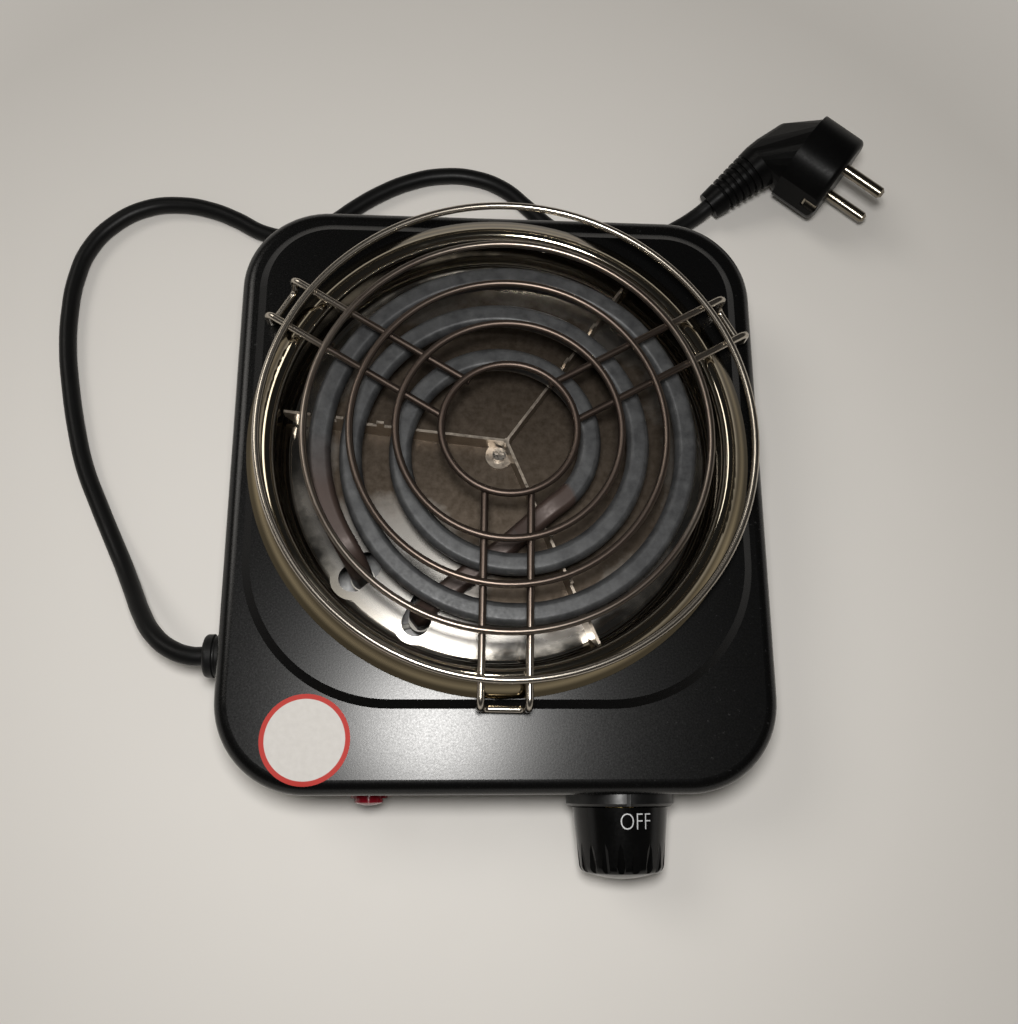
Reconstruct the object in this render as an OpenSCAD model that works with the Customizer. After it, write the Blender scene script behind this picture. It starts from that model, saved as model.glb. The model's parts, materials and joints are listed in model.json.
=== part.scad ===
// Electric hot plate: a pressed steel housing with a spiral sheathed element in a drip pan,
// a lift-off wire grid, a thermostat knob, an indicator lamp and a mains lead with an angled plug.
// Millimetres, +Z up, feet on the table at Z = 0, front towards -Y.
// The origin is below the middle of the outline from the back wall to the front of the knob.

/* [Body] */
// Width of the housing, left to right
body_w = 193; // [188:1:230]
// Depth of the housing, front to back
body_d = 216; // [208:1:250]
// Height of the front shelf above the table
body_top = 48; // [46:1:58]
// Radius of the upright corners
corner_r = 32; // [22:1:40]
// Radius of the rolled edge round the top
edge_r = 5; // [2:0.5:7]
// Thickness of the pressed steel sheet
sheet_t = 1; // [0.6:0.1:1.4]
// Height of the bottom edge of the housing above the table
skirt_z = 7; // [6:0.5:7.5]
// Height of the raised plateau above the front shelf
plateau_h = 2; // [1:0.5:4]
// Width of the sloped step round the plateau
plateau_step = 3; // [2:0.5:4]
// Depth of the front shelf, from the front wall to the plateau
shelf_d = 28; // [24:1:32]
// Corner radius of the plateau at the front
plateau_front_r = 52; // [40:1:60]
// Corner radius of the plateau at the back
plateau_back_r = 27; // [20:1:32]
// Distance from the plateau to the side and back walls
plateau_margin = 7; // [5.5:0.5:8]

/* [Base] */
// Height of the rubber feet below the base plate
foot_h = 8; // [7.5:0.5:10]
// Diameter of a rubber foot
foot_d = 17; // [12:1:20]
// Distance of each foot from the side and front walls
foot_inset = 26; // [22:1:32]
// Thickness of the base plate
base_t = 1; // [0.8:0.1:1.2]
// Gap between the base plate and the housing wall
base_gap = 0.4; // [0.3:0.1:0.8]
// Number of vent slots in a ring of the base plate
vent_count = 12; // [8:1:16]
// Width of a vent slot
vent_w = 4; // [3:0.5:5]
// Length of a vent slot
vent_l = 18; // [12:1:22]

/* [Drip pan] */
// Radius of the outer edge of the pan
pan_r = 90; // [89:0.5:91]
// Distance of the pan's centre behind the middle of the housing
pan_back = 13; // [11:0.5:14]
// Height of the rim above the plateau
pan_rim_h = 6.5; // [5:0.5:8]
// Radius of the rolled bead on the rim
bead_r = 3; // [2.5:0.25:3.5]
// Inside radius of the pan's wall
pan_wall_r = 79.5; // [79:0.5:80]
// Depth of the pan's floor below the front shelf
pan_depth = 11; // [9:0.5:12]
// Radius of the bend from floor to wall
pan_bend_r = 4; // [3:0.5:5]
// Thickness of the pan's sheet
pan_t = 0.6; // [0.5:0.1:0.8]
// Width of the two slots for the element's legs
leg_slot_w = 10; // [9.4:0.2:11]
// Length of those slots
leg_slot_l = 17; // [16:0.5:18]
// Width of the flat pressed round each slot
slot_flat = 3; // [2:0.25:3.25]

/* [Heating coil] */
// Diameter of the sheathed tube
coil_d = 8; // [6.5:0.25:8.5]
// Growth of the spiral's radius in one turn
coil_pitch = 17.6; // [16:0.2:18]
// Radius of the spiral at its inner end
coil_r0 = 27; // [25:0.2:29]
// Radius at which the outermost turn stops growing
coil_max_r = 67; // [66:0.5:68]
// Depth of the flat pressed along the top of the tube
coil_flat = 0.8; // [0:0.1:1.2]
// Offset of the spiral to the right of the pan's centre
coil_right = 2.5; // [0:0.5:3]
// Offset of the spiral in front of the pan's centre
coil_front = 1; // [0:0.5:2]
// Centre-line radius of the bends where the legs turn down
leg_bend_r = 10; // [9:0.5:11]
// Gap between the inner leg and the floor below it and the turns above it
leg_gap = 0.75; // [0.5:0.05:1]
// Thickness of the coil support's sheet
arm_t = 1; // [0.8:0.1:1.2]

/* [Grid] */
// Diameter of the grid wire
wire_d = 2.6; // [2:0.1:3]
// Number of rings
ring_count = 5; // [3:1:7]
// Radius of the innermost ring
ring_r0 = 23.7; // [20:0.1:30]
// Distance from the grid's centre to its upright legs
grid_leg_r = 95.4; // [94.5:0.1:97]
// Distance from the outermost ring to those legs
ring_margin = 8.5; // [6:0.5:12]
// Distance between the two wires of a leg
pair_gap = 16; // [12:0.2:18]
// Height of the leg wires above the feet of the grid
grid_leg_h = 9.5; // [9:0.25:14]
// Centre-line radius of the bends in a leg
wire_bend_r = 3; // [2.6:0.1:3.6]
// Offset of the grid to the right of the pan's centre, as it lies
grid_right = 2.25; // [0:0.25:2.75]
// Offset of the grid behind the pan's centre, as it lies
grid_back = 2; // [0:0.25:2.5]
// Gap left between the grid's feet and the plateau
grid_gap = 0.3; // [0.2:0.05:0.4]
// Depth to which the rings sink into the leg wires at the welds
weld_depth = 0.2; // [0.1:0.05:0.3]

/* [Knob] */
// Distance of the knob's axis to the right of the middle
knob_right = 43.5; // [35:0.5:48]
// Height of the knob and the lamp above the table
panel_z = 24; // [23:0.5:26]
// Distance from the front wall to the front of the knob
knob_reach = 28.5; // [26:0.5:34]
// Diameter of the knob at the back
knob_back_d = 33.6; // [30:0.2:36]
// Diameter of the knob at the front
knob_front_d = 29.6; // [28:0.2:33]
// Radius of the rounded front edge of the knob
knob_edge_r = 3; // [2:0.25:4]
// Height of the dome on the front of the knob
knob_dome = 2; // [1:0.25:3]
// Wall thickness of the knob
knob_wall = 2.4; // [2.4:0.1:3]
// Number of grip flutes
flute_count = 18; // [12:1:24]
// Radius of a grip flute
flute_r = 1.9; // [1.6:0.1:2.4]
// Depth of a grip flute at the front of the knob
flute_depth = 1.5; // [1:0.1:1.6]
// Length over which the flutes fade out towards the back
flute_l = 10; // [8:0.5:14]
// Diameter of the bezel behind the knob
bezel_d = 38; // [36:0.5:41]
// Thickness of the bezel
bezel_t = 4; // [3.75:0.25:6]
// Gap between the bezel and the knob
knob_gap = 0.5; // [0.4:0.1:1]
// Diameter of the control shaft
shaft_d = 6; // [5:0.25:6]
// Radial running clearance of the shaft
shaft_clear = 0.05; // [0.02:0.01:0.08]
// Outer diameter of the thermostat's threaded bush
bush_d = 10; // [9:0.25:10.5]

/* [Lamp] */
// Distance of the lamp's axis to the left of the middle
lamp_left = 45; // [40:0.5:55]
// Diameter of the lens flange
lens_d = 13; // [12:0.25:15]
// Diameter of the lens barrel through the wall
lens_barrel_d = 10; // [9:0.25:10.5]
// Height of the lens in front of the wall
lens_h = 3.6; // [3:0.2:5]

/* [Mains lead] */
// Diameter of the mains cord
cord_d = 6.8; // [6:0.1:7.2]
// Diameter of the bushing that grips the cord
gland_d = 15.5; // [15:0.5:18]
// Length of that bushing outside the wall
gland_t = 8; // [6:0.5:9]
// Distance of the cord's exit in front of the middle of the housing
gland_front = 60; // [58:0.5:62]
// Height of the cord's exit above the table
gland_z = 26; // [25:0.5:27]
// Diameter of the plug's face
plug_d = 38; // [37:0.5:39]
// Diameter of a plug pin
pin_d = 4.8; // [4:0.1:4.8]
// Length of a plug pin
pin_l = 19; // [17:0.5:20]
// Distance between the pins
pin_gap = 19; // [18:0.5:20]

/* [Hidden] */
$fn = 64;

// Overlap used where one cut passes right through a wall
cut = 1;
// Clearance of a screw or a bush in its hole
hole_clear = 0.2;

// Main planes and centres
body_y = knob_reach / 2;
front_y = body_y - body_d / 2;
pan_y = body_y + pan_back;
inner_x = body_w / 2 - corner_r;
inner_y = body_d / 2 - corner_r;
plateau_z = body_top + plateau_h;
floor_z = body_top - pan_depth;
base_top = foot_h + base_t;

// Plateau outline
plateau_w = body_w - 2 * plateau_margin;
plateau_d = body_d - shelf_d - plateau_margin;
plateau_y = body_y + (shelf_d - plateau_margin) / 2;

// Pan section
rim_top = plateau_z + pan_rim_h;
bead_z = rim_top - bead_r;
bead_mid_r = pan_wall_r + bead_r;

// The skirt leaves the bead tangentially and ends flat on the plateau
bead_mid = [bead_mid_r, bead_z];
skirt_edge = [pan_r, plateau_z + pan_t];
skirt_span = skirt_edge - bead_mid;
skirt_angle = atan2(skirt_span.y, skirt_span.x) + acos(bead_r / norm(skirt_span));
skirt_out = bead_mid + polar(bead_r, skirt_angle);
skirt_in = bead_mid + polar(bead_r - pan_t, skirt_angle);
skirt_slope = (skirt_edge - skirt_out) / (skirt_out.y - skirt_edge.y);
skirt_foot = skirt_in + skirt_slope * (skirt_in.y - plateau_z);

// Pan fixing
bolt_r = 2;
bolt_head_r = 2.5;
bolt_head_h = 2.2;
strap_t = 1.5;
strap_w = 20;
strap_drop = 6;
strap_z = floor_z - pan_t - strap_drop - strap_t;
pan_hole_r = pan_wall_r + pan_t + 1;
strap_leg_x = pan_hole_r + 0.3;
strap_foot = plateau_w / 2 - sheet_t - plateau_step - 0.3 - strap_leg_x;
nut_h = 3;
nut_r = 4;

// Element route
coil_x = coil_right;
coil_y = pan_y - coil_front;
leg_z = floor_z + leg_gap + coil_d / 2;
coil_z = leg_z + coil_d + leg_gap;
coil_start = -51;
coil_end = 931;
coil_step = 12;
leg_drop = 14;
leg_end_z = floor_z - leg_drop;
coil_sides = 12;
inner_leg_angle = 244.5;
inner_leg_r = 65.4;
rise_run = 26;

// Coil support: the middle of its star, beside the bolt, its arms and the lug under the bolt's head
star_at = [2.3, 3.2];
arm_angles = [54, 174, 293];
arm_wall_gap = 0.8;
arm_seat_gap = 0.1;
arm_seat_z = coil_z - coil_d / 2 - arm_seat_gap;
arm_tab_w = 2.6;
arm_tab_h = 3.5;
arm_tab_gap = 0.8;
arm_tip_h = 4;
notch_gap = 0.6;
lug_r = 5;

// Element ends
seal_d = 9;
seal_h = 5;
seal_gap = 0.05;
coil_pin_d = 2.4;
coil_pin_l = 5;

// Grid heights
grid_foot_z = plateau_z + grid_gap + wire_d / 2;
grid_wire_z = grid_foot_z + grid_leg_h;
grid_ring_z = grid_wire_z + wire_d - weld_depth;
grid_leg_angles = [29, 149, 269];
ring_pitch = (grid_leg_r - ring_margin - ring_r0) / (ring_count - 1);

// Base fixings
base_w = body_w - 2 * (sheet_t + base_gap);
base_d = body_d - 2 * (sheet_t + base_gap);
base_corner = corner_r - sheet_t - base_gap;
foot_x = body_w / 2 - foot_inset;
foot_y = body_d / 2 - foot_inset;
foot_neck_d = 6;
foot_cap_d = 9;
tab_w = 14;
tab_l = 12;
tab_h = 9;
tab_t = 1.2;
tab_x = body_w / 2 - sheet_t;
tab_y = 45;
screw_r = 1.5;
screw_head_r = 3;
screw_head_h = 2;
vent_ring_r = [34, 58];

// Control stack, measured outwards from the front wall
knob_back = bezel_t + knob_gap;
knob_l = knob_reach - knob_back;
bezel_floor = 2;
index_w = 1.5;
index_depth = 1.2;
bezel_well_r = 10;
control_nut_h = 2.4;
control_nut_r = 8;
bush_out = bezel_floor + control_nut_h + 0.8;
case_w = 34;
case_h = 24;
case_d = 22;
shaft_in = case_d * 0.6;
shaft_end = knob_reach - knob_wall - 2;
hub_wall = 2;
hub_back = bush_out + 1.2;
spade_w = 6.3;
spade_l = 8;
spade_t = 0.8;

// Lamp
lens_flange_t = 1.2;
lens_barrel_l = 12;
lens_wall = 1;

// Cord: where the lead leaves the wall, its bushing there and its way to the plug
gland_at = [-body_w / 2, body_y - gland_front, gland_z];
gland_neck_d = 11;
gland_lock_d = 14;
gland_lock_t = 2.5;
gland_edge_r = 1.5;
gland_groove_r = 0.7;
lead_out = 5;
lead_route = [
    [-117.5, -43, 25], [-125, -37, 22], [-131, -29, 17], [-136.5, -19.5, 11.5], [-142, -9.5, 7],
    [-148.5, 2.5, 4.2], [-155, 15.5, 3.4], [-162, 31, 3.4], [-167, 47, 3.4], [-171, 64, 3.4],
    [-174, 81, 3.4], [-175, 98, 3.4], [-174, 113, 3.4], [-170, 127, 3.4], [-161, 139, 3.4],
    [-148, 147, 3.4], [-134, 149, 3.4], [-121, 147, 3.4], [-109.5, 142.5, 3.4], [-99, 137, 3.4],
    [-88, 135, 3.4], [-77.5, 137.5, 3.4], [-68.5, 143.5, 3.4], [-60, 150.5, 3.4], [-50, 157.5, 3.4],
    [-37, 164, 3.4], [-23, 167.5, 3.4], [-9, 167, 3.4], [4, 162, 3.4], [14, 153.5, 3.4],
    [23, 145, 3.4], [33, 139, 3.4], [45, 136, 3.4], [58, 136.5, 3.4], [69.5, 139.5, 3.4], [79.5, 144.5, 4]
];
cord_sides = 10;
wire_r = 1;
wire_sides = 8;

// Plug: the middle of its face, its turn on the table and its ribbed strain relief
plug_at = [148, 161, 19];
plug_turn = -38;
plug_head_l = 20;
plug_edge_r = 2.5;
plug_flat = 1;
spine_l = 18;
spine_r = 10;
boot_root = [-31, -13.3, -2];
boot_turn = 254;
boot_drop = 19;
boot_l = 28;
boot_root_r = 9.5;
boot_tip_r = 6;
boot_ribs = 6;
boot_collar = 5;
boot_groove = 1.2;
boot_gap = 0.5;
boot_clear = 0.1;
spine_start = spine_r * tan(boot_drop) + boot_gap;
clip_w = 5;
clip_l = 7;
clip_t = 0.8;
clip_depth = 2.5;

function unit(v) = v / norm(v);
function polar(r, a) = [r * cos(a), r * sin(a)];

// Direction of a route at one of its points
function heading(route, i) =
    unit(route[min(i + 1, len(route) - 1)] - route[max(i - 1, 0)]);
function ring_side(t) = unit(cross(t, [0, 0, 1]));
function ring_rise(t) = cross(ring_side(t), t);

// One ring of a swept tube, pressed flat on its upper side by the given depth
function tube_ring(p, t, r, sides, flat) = [
    for (k = [0 : sides - 1])
        let (a = 360 * (k + 0.5) / sides)
            p + r * cos(a) * ring_side(t) + min(r * sin(a), r - flat) * ring_rise(t)
];

// Tube through a stretch of a route, first and last being the points at its two ends
module tube(route, radii, sides, first, last, flat = 0) {
    rings = [
        for (i = [first : last])
            each tube_ring(route[i], heading(route, i), radii[i - first], sides, flat)
    ];
    n = last - first;
    walls = [
        for (i = [0 : n - 1], k = [0 : sides - 1])
            let (a = i * sides + k, b = i * sides + (k + 1) % sides)
                each [[a, b, b + sides], [a, b + sides, a + sides]]
    ];
    caps = [
        [for (k = [sides - 1 : -1 : 0]) k],
        [for (k = [0 : sides - 1]) n * sides + k]
    ];
    polyhedron(points = rings, faces = concat(walls, caps));
}

// Places: the pan's centre, and the front wall with +Z pointing out of it
module at_pan() {
    translate([0, pan_y, 0]) children();
}

module at_front(x, z) {
    translate([x, front_y, z]) rotate([90, 0, 0]) children();
}

module at_plug() {
    translate(plug_at) rotate(plug_turn) children();
}

// Block with rounded upright corners, whose edge section is the child
module swept_block(half_x, half_y, low, high) {
    signs = [[1, 1], [-1, 1], [-1, -1], [1, -1]];
    for (k = [0 : 3])
        translate([signs[k].x * half_x, signs[k].y * half_y, 0])
            rotate(90 * k)
                rotate_extrude(angle = 90) children();
    for (k = [0 : 3]) {
        out = k % 2 == 0 ? half_x : half_y;
        run = k % 2 == 0 ? half_y : half_x;
        rotate(90 * k)
            translate([out, 0, 0])
                rotate([90, 0, 0])
                    linear_extrude(2 * run, center = true) children();
    }
    translate([-half_x, -half_y, low])
        cube([2 * half_x, 2 * half_y, high - low]);
}

// Flat rounded rectangle
module round_rect(w, d, r) {
    square([w - 2 * r, d], center = true);
    square([w, d - 2 * r], center = true);
    for (x = [-1, 1], y = [-1, 1])
        translate([x * (w / 2 - r), y * (d / 2 - r)]) circle(r);
}

// Slot with round ends, lying along X
module obround(l, w) {
    square([l - w, w], center = true);
    for (s = [-1, 1]) translate([s * (l - w) / 2, 0]) circle(w / 2);
}

// Outer or inner form of the housing, the inner one smaller by the sheet
module housing_section(inset, low) {
    r = corner_r - inset;
    e = edge_r - inset;
    top = body_top - inset;
    translate([0, low]) square([r, top - e - low]);
    translate([0, low]) square([r - e, top - low]);
    translate([r - e, top - e]) circle(e);
}

module plateau_section(r, inset, low) {
    polygon([
        [0, low], [r - inset, low], [r - inset, body_top - inset],
        [r - inset - plateau_step, plateau_z - inset], [0, plateau_z - inset]
    ]);
}

module housing_form(inset, low) {
    top = plateau_z - inset;
    plateau_low = body_top - edge_r - sheet_t;
    back_d = plateau_d / 2;
    translate([0, body_y, 0])
        swept_block(inner_x, inner_y, low, body_top - inset) housing_section(inset, low);
    translate([0, plateau_y, 0])
        swept_block(
            plateau_w / 2 - plateau_front_r, plateau_d / 2 - plateau_front_r, plateau_low, top
        ) plateau_section(plateau_front_r, inset, plateau_low);
    translate([0, plateau_y + back_d / 2, 0])
        swept_block(
            plateau_w / 2 - plateau_back_r, back_d / 2 - plateau_back_r, plateau_low, top
        ) plateau_section(plateau_back_r, inset, plateau_low);
}

module top_housing() {
    color("#16171a")
        difference() {
            housing_form(0, skirt_z);
            housing_form(sheet_t, skirt_z - cut);
            at_pan() translate([0, 0, floor_z]) cylinder(r = pan_hole_r, h = body_top);
            at_front(knob_right, panel_z)
                translate([0, 0, -sheet_t - cut])
                    cylinder(d = bush_d + 2 * hole_clear, h = sheet_t + 2 * cut);
            at_front(-lamp_left, panel_z)
                translate([0, 0, -sheet_t - cut])
                    cylinder(d = lens_barrel_d + 2 * hole_clear, h = sheet_t + 2 * cut);
            translate(gland_at)
                rotate([0, 90, 0])
                    translate([0, 0, -cut])
                        cylinder(d = gland_neck_d + 2 * hole_clear, h = sheet_t + 2 * cut);
        }
}

module at_base_corners(x, y) {
    for (sx = [-1, 1], sy = [-1, 1])
        translate([sx * x, body_y + sy * y, 0]) children();
}

module at_tabs() {
    for (sx = [-1, 1], sy = [-1, 1])
        translate([sx * tab_x, body_y + sy * tab_y, 0])
            rotate(sx > 0 ? 180 : 0) children();
}

module base_plate() {
    color("#8d9094")
        difference() {
            translate([0, body_y, foot_h]) linear_extrude(base_t) round_rect(base_w, base_d, base_corner);
            at_base_corners(foot_x, foot_y)
                translate([0, 0, foot_h - cut])
                    cylinder(d = foot_neck_d + 2 * hole_clear, h = base_t + 2 * cut);
            at_tabs()
                translate([tab_l / 2, 0, foot_h - cut])
                    cylinder(r = screw_r + hole_clear, h = base_t + 2 * cut);
            translate([earth_at.x, earth_at.y, foot_h - cut])
                cylinder(r = screw_r + hole_clear, h = base_t + 2 * cut);
            for (ring = [0 : len(vent_ring_r) - 1], k = [0 : vent_count - 1])
                at_pan()
                    rotate(360 * (k + ring / 2) / vent_count)
                        translate([vent_ring_r[ring], 0, foot_h - cut])
                            linear_extrude(base_t + 2 * cut) obround(vent_l, vent_w);
        }
}

// Angle tabs welded to the side walls, which take the base screws
module base_tabs() {
    color("#8d9094")
        at_tabs()
            difference() {
                union() {
                    translate([0, -tab_w / 2, base_top]) cube([tab_l, tab_w, tab_t]);
                    translate([0, -tab_w / 2, base_top]) cube([tab_t, tab_w, tab_h]);
                }
                translate([tab_l / 2, 0, base_top - cut]) cylinder(r = screw_r, h = tab_t + 2 * cut);
            }
}

module pan_head_screw(l) {
    cylinder(r = screw_r, h = l);
    translate([0, 0, -screw_head_h])
        intersection() {
            cylinder(r = screw_head_r, h = screw_head_h);
            translate([0, 0, screw_head_r]) sphere(r = screw_head_r * 1.35);
        }
}

module base_screws() {
    color("#b9bcc0")
        at_tabs() translate([tab_l / 2, 0, foot_h]) pan_head_screw(base_t + tab_t + 3);
}

module rubber_feet() {
    color("#1c1c1d")
        at_base_corners(foot_x, foot_y)
            rotate_extrude()
                difference() {
                    union() {
                        polygon([
                            [0, 0], [foot_d / 2 - 1.5, 0], [foot_d / 2, foot_h], [0, foot_h]
                        ]);
                        translate([0, foot_h]) square([foot_neck_d / 2, base_t]);
                        polygon([
                            [0, base_top], [foot_cap_d / 2, base_top],
                            [foot_neck_d / 2, base_top + 3], [0, base_top + 3]
                        ]);
                    }
                    translate([0, -cut]) square([foot_neck_d / 4, cut + foot_h / 2]);
                }
}

// Thin revolved section of the pan: floor, bend, wall, rolled bead and outer skirt
module pan_section() {
    bend_mid = [pan_wall_r - pan_bend_r, floor_z + pan_bend_r];
    translate([bolt_r + hole_clear, floor_z - pan_t])
        square([bend_mid.x - bolt_r - hole_clear, pan_t]);
    translate(bend_mid)
        intersection() {
            difference() {
                circle(pan_bend_r + pan_t);
                circle(pan_bend_r);
            }
            translate([0, -pan_bend_r - pan_t]) square(pan_bend_r + pan_t);
        }
    translate([pan_wall_r, bend_mid.y]) square([pan_t, bead_z - bend_mid.y]);
    translate(bead_mid)
        intersection() {
            difference() {
                circle(bead_r);
                circle(bead_r - pan_t);
            }
            polygon([
                [0, 0], polar(2 * bead_r, skirt_angle), polar(2 * bead_r, 90),
                polar(2 * bead_r, 135), [-2 * bead_r, 0]
            ]);
        }
    polygon([skirt_in, skirt_foot, [pan_r, plateau_z], skirt_edge, skirt_out]);
}

// Room inside the pan up to the height of the bend
module pan_room() {
    bend_x = pan_wall_r - pan_bend_r;
    translate([0, floor_z]) square([bend_x, pan_bend_r]);
    intersection() {
        translate([bend_x, floor_z + pan_bend_r]) circle(pan_bend_r);
        translate([bend_x, floor_z]) square(pan_bend_r);
    }
}

// The flat round each slot runs on into the bend, inside a low wall of its own
module drip_pan() {
    color("#b4b0a8")
        difference() {
            union() {
                at_pan() rotate_extrude($fn = 128) pan_section();
                difference() {
                    leg_slots(slot_flat + pan_t, floor_z - pan_t, pan_bend_r);
                    at_pan() rotate_extrude($fn = 128) pan_room();
                }
            }
            leg_slots(slot_flat, floor_z, pan_bend_r);
            leg_slots(0, floor_z - pan_t - cut, pan_t + 2 * cut);
        }
}

// Slots for the element's legs, grown by a margin: each points away from the pan's centre
module leg_slots(margin, low, h) {
    for (leg = [outer_leg, inner_leg])
        translate([leg.x, leg.y, low])
            rotate(atan2(leg.y - pan_y, leg.x))
                linear_extrude(h) obround(leg_slot_l + 2 * margin, leg_slot_w + 2 * margin);
}

// Bridge under the housing's top, which the centre bolt pulls against
module pan_strap() {
    foot_z = plateau_z - sheet_t;
    color("#9a9da1")
        at_pan()
            difference() {
                union() {
                    translate([-strap_leg_x - strap_t, -strap_w / 2, strap_z])
                        cube([2 * (strap_leg_x + strap_t), strap_w, strap_t]);
                    for (s = [0, 1]) rotate(180 * s) {
                        translate([strap_leg_x, -strap_w / 2, strap_z])
                            cube([strap_t, strap_w, foot_z - strap_z]);
                        translate([strap_leg_x, -strap_w / 2, foot_z - strap_t])
                            cube([strap_foot, strap_w, strap_t]);
                    }
                }
                translate([0, 0, strap_z - cut]) cylinder(r = bolt_r + hole_clear, h = strap_t + 2 * cut);
            }
}

module pan_bolt() {
    shank = floor_z - strap_z + nut_h + 2;
    head_z = floor_z + arm_t;
    color("#a9a49a")
        at_pan() {
            translate([0, 0, floor_z - shank]) cylinder(r = bolt_r, h = shank + arm_t);
            translate([0, 0, head_z])
                difference() {
                    cylinder(r = bolt_head_r, h = bolt_head_h);
                    for (a = [0, 90])
                        rotate(a)
                            translate([-1.7, -0.4, bolt_head_h - 1]) cube([3.4, 0.8, 1 + cut]);
                }
        }
}

module pan_nut() {
    color("#a9a49a")
        at_pan()
            translate([0, 0, strap_z - nut_h])
                difference() {
                    cylinder(r = nut_r, h = nut_h, $fn = 6);
                    translate([0, 0, -cut]) cylinder(r = bolt_r + 0.05, h = nut_h + 2 * cut);
                }
}

// Radius of the spiral at an angle counted from the right, through all turns
function spiral_r(a) = min(coil_r0 + coil_pitch * (a - coil_start) / 360, coil_max_r);
function spiral_at(a) = [
    coil_x + spiral_r(a) * cos(a), coil_y + spiral_r(a) * sin(a), coil_z
];

// Quarter bend in an upright plane, from level along a heading to straight down
function bend_down(p, a, z, steps, from, to) = [
    for (k = [from : steps * (to > from ? 1 : -1) : to])
        let (d = polar(leg_bend_r * sin(k), a))
            [p.x + d.x, p.y + d.y, z - leg_bend_r * (1 - cos(k))]
];

// Smooth rise between two points with given flat headings
function rise(p, a, q, b, u) =
    let (
        pull = norm([q.x - p.x, q.y - p.y]),
        start = [pull * cos(a), pull * sin(a), 0],
        finish = [pull * cos(b), pull * sin(b), 0]
    )
    (2 * u * u * u - 3 * u * u + 1) * p + (u * u * u - 2 * u * u + u) * start
    + (3 * u * u - 2 * u * u * u) * q + (u * u * u - u * u) * finish;

// Plan positions of the two upright legs
outer_end = spiral_at(coil_end);
outer_heading = coil_end + 90;
outer_leg = [outer_end.x, outer_end.y] + polar(leg_bend_r, outer_heading);
inner_leg = [0, pan_y] + polar(inner_leg_r, inner_leg_angle);

// The inner leg runs straight and level under the turns, then rises into the spiral
inner_end = spiral_at(coil_start);
leg_angle = atan2(inner_end.y - inner_leg.y, inner_end.x - inner_leg.x);
rise_at = concat([inner_end.x, inner_end.y] - polar(rise_run, leg_angle), [leg_z]);
inner_bend = inner_leg + polar(leg_bend_r, leg_angle);
lean = 0.02;
element_route = concat(
    [concat(inner_leg - polar(lean, leg_angle), [leg_end_z])],
    bend_down(inner_bend, leg_angle + 180, leg_z, 18, 90, 0),
    [concat((inner_bend + [rise_at.x, rise_at.y]) / 2, [leg_z])],
    [for (k = [0 : 7]) rise(rise_at, leg_angle, inner_end, coil_start + 90, k / 8)],
    [for (k = [0 : floor((coil_end - coil_start) / coil_step)]) spiral_at(coil_start + k * coil_step)],
    bend_down(outer_end, outer_heading, coil_z, 18, 0, 90),
    [concat(outer_leg + polar(lean, outer_heading), [leg_end_z])]
);

// Least gap between stretches of the element, measured on points spread along its route
gap_fill = 4;
gap_apart = 10 * gap_fill;
function spread(route, n) = [
    for (i = [0 : len(route) - 2], k = [0 : n - 1]) route[i] + (route[i + 1] - route[i]) * k / n
];
function least_gap(points, apart) = min([
    for (i = [0 : len(points) - apart - 1], j = [i + apart : len(points) - 1])
        norm(points[i] - points[j])
]);

module heating_coil() {
    n = len(element_route);
    echo(element_gap = least_gap(spread(element_route, gap_fill), gap_apart) - coil_d);
    color("#3d4247")
        tube(element_route, [for (i = element_route) coil_d / 2], coil_sides, 0, n - 1, coil_flat);
}

// Three webs on edge that meet in a star, and a lug on the pan's floor under the bolt's head
module coil_support() {
    web_h = arm_seat_z - floor_z;
    color("#8f8a80")
        at_pan()
            difference() {
                translate([0, 0, floor_z]) {
                    cylinder(r = lug_r, h = arm_t);
                    translate(star_at) cylinder(r = arm_t, h = web_h);
                    translate(star_at)
                        for (a = arm_angles) rotate(a) support_arm(a, web_h);
                }
                translate([0, 0, floor_z - cut]) cylinder(r = bolt_r + hole_clear, h = arm_t + 2 * cut);
            }
}

// Distance along an arm from the star's middle to a circle round a centre near the pan's own
function arm_reach(a, r, centre) =
    let (off = centre - star_at, dir = polar(1, a), side = off.x * dir.y - off.y * dir.x)
        off * dir + sqrt(r * r - side * side);

// Web under the turns with tabs between them, a raised tip at the wall and a notch for the inner leg
module support_arm(angle, web_h) {
    foot = arm_reach(angle, pan_wall_r - pan_bend_r - 1, [0, 0]);
    wall = arm_reach(angle, pan_wall_r - arm_wall_gap, [0, 0]);
    first = angle - (angle > 340 + coil_start ? 360 : 0);
    turns = floor((coil_end - first) / 360);
    turn_at = [
        for (k = [0 : turns])
            arm_reach(angle, spiral_r(first + 360 * k), [coil_right, -coil_front])
    ];
    tip = turn_at[turns] + coil_d / 2 + arm_tab_gap;
    top = web_h + arm_tab_h;
    rotate([90, 0, 0])
        linear_extrude(arm_t, center = true)
            difference() {
                union() {
                    polygon([
                        [0, 0], [foot, 0], [wall, top - arm_tip_h], [wall, top],
                        [tip, top], [tip, web_h], [0, web_h]
                    ]);
                    for (k = [0 : turns - 1])
                        translate([(turn_at[k] + turn_at[k + 1] - arm_tab_w) / 2, 0])
                            square([arm_tab_w, top]);
                }
                if (first < coil_start)
                    translate([leg_cross(angle), leg_under(angle) - floor_z])
                        translate([-coil_d / 2 - notch_gap, -notch_gap])
                            square([coil_d + 2 * notch_gap, coil_d]);
            }
}

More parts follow.
